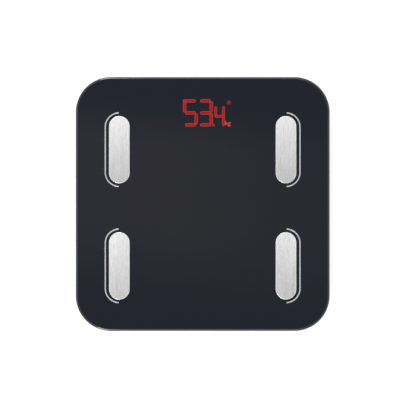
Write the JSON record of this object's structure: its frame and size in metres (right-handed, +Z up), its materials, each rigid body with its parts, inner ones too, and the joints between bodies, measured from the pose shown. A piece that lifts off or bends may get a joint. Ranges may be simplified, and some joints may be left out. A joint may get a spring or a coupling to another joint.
{
  "type": "digital bathroom scale",
  "caption": "Square dark glass bathroom scale with rounded corners, brushed steel foot electrodes, a hidden red LED display, weighing feet and a battery door underneath.",
  "frame": {"origin": "on the floor under the middle of the platform", "axes": "+Z up, +Y towards the display end, +X to the right of a person facing the display"},
  "size_m": [0.28, 0.28, 0.025],
  "materials": {
    "platform_glass": "dark back-painted tempered glass, polished",
    "electrode_steel": "brushed lengthwise, bright rounded edge",
    "adhesive_film": "clear adhesive film",
    "bond_foam": "black foam tape",
    "tray_plastic": "moulded, fine spark-eroded grain",
    "foot_plastic": "moulded, fine grain",
    "pad_rubber": "soft non-slip rubber",
    "cell_steel": "nickel plated spring steel",
    "gauge_sealant": "white silicone",
    "board_laminate": "green solder mask",
    "screw_steel": "zinc plated",
    "white_plastic": "moulded white",
    "display_film": "diffusing film",
    "led_resin": "red emitting chip",
    "chip_resin": "black moulded package",
    "shield_metal": "tinned shield can",
    "button_plastic": "moulded grey",
    "battery_can": "plain foil jacket",
    "contact_metal": "nickel plated",
    "lead_pvc": "PVC insulation"
  },
  "bodies": {
    "platform": {"battery_contacts": "contact_metal", "battery_leads": "lead_pvc", "battery_springs": "contact_metal", "board_screws": "screw_steel", "circuit_board": "board_laminate", "controller_chip": "chip_resin", "display_film": "display_film", "display_gasket": "bond_foam", "display_light_box": "white_plastic", "electrode_leads": "lead_pvc", "electrode_tapes": "adhesive_film", "front_battery": "battery_can", "front_left_cell_holder": "white_plastic", "front_left_cell_leads": "lead_pvc", "front_left_electrode": "electrode_steel", "front_left_load_cell": "cell_steel", "front_right_cell_holder": "white_plastic", "front_right_cell_leads": "lead_pvc", "front_right_electrode": "electrode_steel", "front_right_load_cell": "cell_steel", "gauge_seals": "gauge_sealant", "glass_bond": "bond_foam", "glass_platform": "platform_glass", "led_chips": "led_resin", "lower_tray": "tray_plastic", "middle_battery": "battery_can", "push_switch": "chip_resin", "radio_module": "shield_metal", "rear_battery": "battery_can", "rear_left_cell_holder": "white_plastic", "rear_left_cell_leads": "lead_pvc", "rear_left_electrode": "electrode_steel", "rear_left_load_cell": "cell_steel", "rear_right_cell_holder": "white_plastic", "rear_right_cell_leads": "lead_pvc", "rear_right_electrode": "electrode_steel", "rear_right_load_cell": "cell_steel"},
    "front_left_foot_body": {"front_left_foot": "foot_plastic", "front_left_foot_pad": "pad_rubber"},
    "front_right_foot_body": {"front_right_foot": "foot_plastic", "front_right_foot_pad": "pad_rubber"},
    "rear_left_foot_body": {"rear_left_foot": "foot_plastic", "rear_left_foot_pad": "pad_rubber"},
    "rear_right_foot_body": {"rear_right_foot": "foot_plastic", "rear_right_foot_pad": "pad_rubber"},
    "battery_door_body": {"battery_door": "tray_plastic"},
    "unit_button_body": {"unit_button": "button_plastic", "switch_plunger": "white_plastic"}
  },
  "joints": [
    {"name": "front_left_foot_press", "type": "slide", "parent": "platform", "child": "front_left_foot_body", "axis": [0, 0, 1], "range_m": [-0.0003, 0.0008], "deforming": ["front_left_load_cell"]},
    {"name": "front_right_foot_press", "type": "slide", "parent": "platform", "child": "front_right_foot_body", "axis": [0, 0, 1], "range_m": [-0.0003, 0.0008], "deforming": ["front_right_load_cell"]},
    {"name": "rear_left_foot_press", "type": "slide", "parent": "platform", "child": "rear_left_foot_body", "axis": [0, 0, 1], "range_m": [-0.0003, 0.0008], "deforming": ["rear_left_load_cell"]},
    {"name": "rear_right_foot_press", "type": "slide", "parent": "platform", "child": "rear_right_foot_body", "axis": [0, 0, 1], "range_m": [-0.0003, 0.0008], "deforming": ["rear_right_load_cell"]},
    {"name": "battery_door_hinge", "type": "hinge", "parent": "platform", "child": "battery_door_body", "pos_m": [0, 0.04445, 0.0049], "axis": [1, 0, 0], "range_deg": [0, 75]},
    {"name": "unit_button_press", "type": "slide", "parent": "platform", "child": "unit_button_body", "axis": [0, 0, 1], "range_m": [0, 0.0005], "stiffness_N_per_m": 3000}
  ]
}
